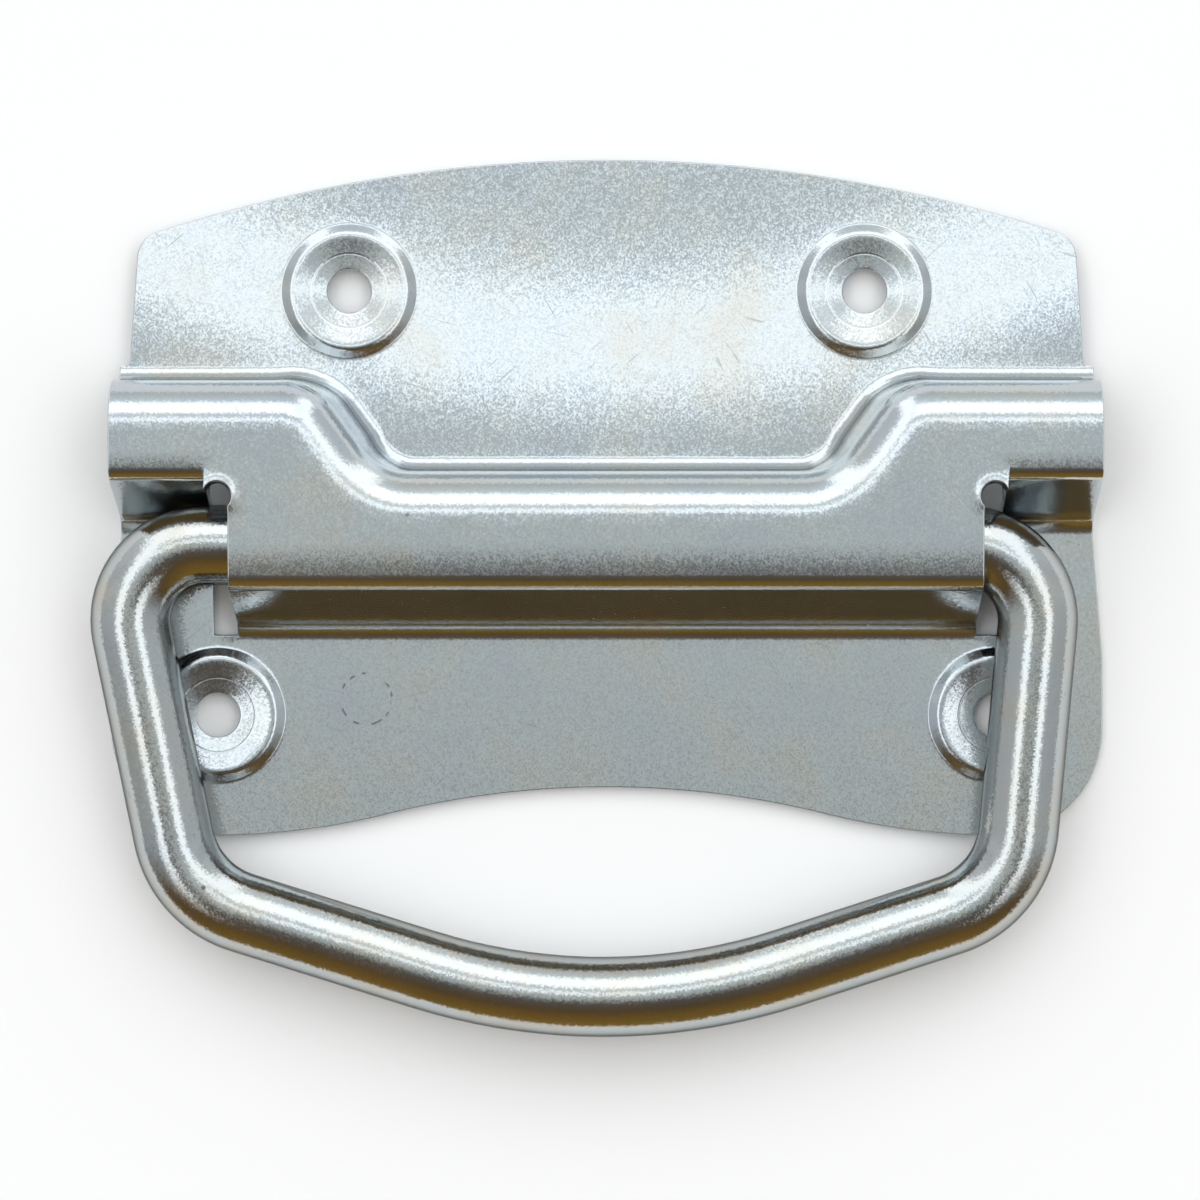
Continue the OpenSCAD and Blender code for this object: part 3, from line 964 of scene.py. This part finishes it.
@dataclass
class RodBail:
    """Bent round rod whose inturned ends pivot in the barrel. Sizes in millimetres."""

    rod_d: float = 8.0
    hinge_z: float = 6.8
    barrel_half: float = 37.3
    pivot_depth: float = 12.0
    bend_gap: float = 0.5
    top_r: float = 7.5
    corner_r: float = 10.0
    tip_r: float = 60.0
    leg_lean: float = 8.3
    corner_drop: float = 35.0
    tip_drop: float = 48.2
    sway: float = 2.7
    rest_tilt: float = 1.508
    # Mesh: sides of the rod, steps of each bend and the longest straight
    sides: int = 48
    bend_steps: int = 18
    pitch: float = 1.5

    def build(self, finish: bpy.types.Material) -> bpy.types.Object:
        """Sweeps the rod along its centreline.

        Args:
            finish: Material of the rod.

        Returns:
            A closed plain mesh in the part's frame.
        """
        cos, sin = math.cos(math.radians(self.rest_tilt)), math.sin(math.radians(self.rest_tilt))
        line = [(x * MM, (y * cos - HINGE_BELOW_ORIGIN) * MM, (self.hinge_z + y * sin) * MM)
                for x, y in stepped(self._centreline(), self.pitch)]
        wire = bpy.data.meshes.new("bail_line")
        wire.from_pydata(line, [(k, k + 1) for k in range(len(line) - 1)], [])
        source = bpy.data.objects.new("bail_line", wire)
        bpy.context.scene.collection.objects.link(source)
        tree = self._sweep_tree()
        sweep = source.modifiers.new("rod_sweep", "NODES")
        sweep.node_group = tree
        values = {"Rod Radius": self.rod_d / 2 * MM, "Rod Sides": self.sides, "Finish": finish}
        for item in tree.interface.items_tree:
            if item.name in values:
                sweep[item.identifier] = values[item.name]
        piece = plain_mesh(source, "rod_bail")
        bpy.data.node_groups.remove(tree)
        piece.data.shade_smooth()
        piece.data.set_sharp_from_angle(angle=math.radians(SHARP_ANGLE))
        return piece

    def _swayed(self, x: float, drop: float) -> Point2:
        """A corner of the centreline, moved left by its share of the sway."""
        return x - self.sway * (1 - drop / self.tip_drop), -drop

    def _centreline(self) -> list[Point2]:
        """Centreline from the left pivot's end round the loop to the right one's.

        Returns:
            Points in the bail's own plane.
        """
        lean = math.radians(self.leg_lean)
        half = self.barrel_half + self.bend_gap + self.top_r * math.tan((math.pi / 2 + lean) / 2)
        corner = half - self.corner_drop * math.tan(lean)
        pivot = self.barrel_half - self.pivot_depth
        corners = [
            self._swayed(-pivot, 0), self._swayed(-half, 0), self._swayed(-corner, self.corner_drop),
            (0.0, -self.tip_drop),
            self._swayed(corner, self.corner_drop), self._swayed(half, 0), self._swayed(pivot, 0),
        ]
        radii = [0, self.top_r, self.corner_r, self.tip_r, self.corner_r, self.top_r, 0]
        return rounded(corners, radii, self.bend_steps)

    def _sweep_tree(self) -> bpy.types.NodeTree:
        """Geometry Nodes tree that runs a round section along a line of edges.

        Returns:
            A tree with the rod's radius, sides and finish as inputs.
        """
        tree = bpy.data.node_groups.new("rod_sweep", "GeometryNodeTree")
        sockets = {"Geometry": "Geometry", "Rod Radius": "Float", "Rod Sides": "Int", "Finish": "Material"}
        for name, kind in sockets.items():
            tree.interface.new_socket(name, in_out="INPUT", socket_type=f"NodeSocket{kind}")
        tree.interface.new_socket("Geometry", in_out="OUTPUT", socket_type="NodeSocketGeometry")
        given = add(tree, "NodeGroupInput").outputs
        line = add(tree, "GeometryNodeMeshToCurve", {"Mesh": given["Geometry"]}).outputs["Curve"]
        ring = add(tree, "GeometryNodeCurvePrimitiveCircle", {
            "Resolution": given["Rod Sides"], "Radius": given["Rod Radius"]}).outputs["Curve"]
        rod = add(tree, "GeometryNodeCurveToMesh", {
            "Curve": line, "Profile Curve": ring, "Fill Caps": True}).outputs["Mesh"]
        real = add(tree, "GeometryNodeRealizeInstances", {"Geometry": rod}).outputs["Geometry"]
        dressed = add(tree, "GeometryNodeSetMaterial", {
            "Geometry": real, "Material": given["Finish"]}).outputs["Geometry"]
        add(tree, "NodeGroupOutput", {"Geometry": dressed})
        return tree


@dataclass
class Studio:
    """White floor in a light tent with a dark front, and the camera straight above the part."""

    # Camera: place, and the width and centre of what it shows, in millimetres
    camera_x: float = 3.85
    camera_y: float = -5.49
    camera_height: float = 451.0
    sensor_width: float = 36.0
    frame_width: float = 121.6
    frame_centre_x: float = -0.71
    # Paper: half its side in metres, and how far it lies below the part in millimetres
    floor_half: float = 2.0
    floor_drop: float = 0.1
    paper: str = "#f2f2f2"
    # Lamp for the paper: power, side and height in metres
    fill_watts: float = 16.5
    fill_side: float = 4.0
    fill_height: float = 1.2
    tent_strength: float = 2.0
    # Tent from front to back: degrees from overhead, towards the back, and colour
    front_to_back: tuple[tuple[float, str], ...] = (
        (-90, "#6a5220"), (-60, "#5e4820"), (-40, "#4a3a22"), (-17, "#45403a"), (-8, "#6f6f6d"),
        (-4.5, "#939694"), (5, "#9b9f9e"), (9, "#c0c6ca"), (11.5, "#f3f6f8"), (15, "#f3f6f8"),
        (18, "#aeb2b3"), (25, "#aeb2b3"), (30, "#f8fafb"), (54, "#f8fafb"), (61, "#b0b6ba"), (90, "#96968f"),
    )
    # Lamp strips on both sides: degrees from overhead, colour and cover
    sides: tuple[tuple[float, str, float], ...] = (
        (15, "#989c9a", 0.0), (21, "#eef0f2", 1.0), (34, "#eef0f2", 1.0),
        (41, "#949799", 0.9), (90, "#8e9092", 0.9),
    )
    # The strips fade in from the dark front between these degrees, on the same scale as the tent
    strip_fade: Point2 = (-36.0, -10.0)

    def build(self) -> None:
        """Sets up floor, light and camera."""
        scene = bpy.context.scene
        scene.view_settings.view_transform = "Standard"
        self._floor()
        self._tent()
        self._fill()
        self._camera()

    def _floor(self) -> None:
        """White paper, lit until it is just white, so that only the part's own shadow shows on it."""
        size = self.floor_half
        mesh = bpy.data.meshes.new("floor")
        corners = [(-size, -size, 0), (size, -size, 0), (size, size, 0), (-size, size, 0)]
        mesh.from_pydata(corners, [], [(0, 1, 2, 3)])
        floor = bpy.data.objects.new("floor", mesh)
        floor.location.z = -self.floor_drop * MM
        bpy.context.scene.collection.objects.link(floor)
        paper = bpy.data.materials.new("white_paper")
        paper.use_nodes = True
        tree = paper.node_tree
        tree.nodes.clear()
        matt = add(tree, "ShaderNodeBsdfDiffuse", {"Color": linear(self.paper)})
        add(tree, "ShaderNodeOutputMaterial", {"Surface": matt.outputs[0]})
        mesh.materials.append(paper)

    def _tent(self) -> None:
        """World light of the tent, by the angle of each direction from overhead."""
        world = bpy.data.worlds.new("light_tent")
        bpy.context.scene.world = world
        world.use_nodes = True
        tree = world.node_tree
        tree.nodes.clear()
        toward = add(tree, "ShaderNodeTexCoord").outputs["Generated"]
        parts = add(tree, "ShaderNodeSeparateXYZ", {"Vector": toward}).outputs
        back = reckon(tree, "ARCSINE", parts["Y"])
        side = reckon(tree, "ABSOLUTE", reckon(tree, "ARCSINE", parts["X"]))
        half = math.pi / 2
        along = ranged(tree, back, -half, half)
        across = ranged(tree, side, 0.0, half)
        main_ramp = colour_ramp(tree, along, [((a + 90) / 180, code, 1.0) for a, code in self.front_to_back])
        side_ramp = colour_ramp(tree, across, [(a / 90, code, cover) for a, code, cover in self.sides])
        reach = ranged(tree, back, *(math.radians(a) for a in self.strip_fade))
        cover = reckon(tree, "MULTIPLY", side_ramp.outputs["Alpha"], reach)
        colour = blend(tree, cover, main_ramp.outputs["Color"], side_ramp.outputs["Color"])
        light = add(tree, "ShaderNodeBackground", {"Color": colour, "Strength": self.tent_strength})
        add(tree, "ShaderNodeOutputWorld", {"Surface": light.outputs["Background"]})

    def _fill(self) -> None:
        """Adds a wide overhead lamp for the paper alone, which the metal doesn't mirror."""
        data = bpy.data.lights.new("paper_fill", "AREA")
        data.shape = "SQUARE"
        data.size = self.fill_side
        data.energy = self.fill_watts
        lamp = bpy.data.objects.new("paper_fill", data)
        lamp.location = (0.0, 0.0, self.fill_height)
        lamp.visible_glossy = False
        bpy.context.scene.collection.objects.link(lamp)

    def _camera(self) -> None:
        """Adds the camera, which looks straight down with a small shift to the left."""
        data = bpy.data.cameras.new("camera")
        data.sensor_fit = "HORIZONTAL"
        data.sensor_width = self.sensor_width
        data.lens = self.sensor_width * self.camera_height / self.frame_width
        data.shift_x = (self.frame_centre_x - self.camera_x) / self.frame_width
        camera = bpy.data.objects.new("camera", data)
        place = (self.camera_x, self.camera_y - HINGE_BELOW_ORIGIN, self.camera_height)
        camera.location = Vector(place) * MM
        bpy.context.scene.collection.objects.link(camera)
        bpy.context.scene.camera = camera


def seat(piece: bpy.types.Object, body: Body) -> None:
    """Lets a piece ride on its body, in place of the body's solid.

    Args:
        piece: Finished piece.
        body: Body that carries it, which has the same name as its solid.
    """
    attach(piece, body.value)
    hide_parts(body.value)
    LOG.info("%s: %d faces on %s", piece.name, len(piece.data.polygons), body.value)


def main() -> None:
    """Builds the handle and its studio."""
    logging.basicConfig(level=logging.INFO, format="%(name)s: %(message)s")
    seat(BackPlate().build(SHEET_ZINC.material()), Body.PLATE)
    seat(RodBail().build(ROD_ZINC.material()), Body.BAIL)
    Studio().build()


if __name__ == "__main__":
    main()
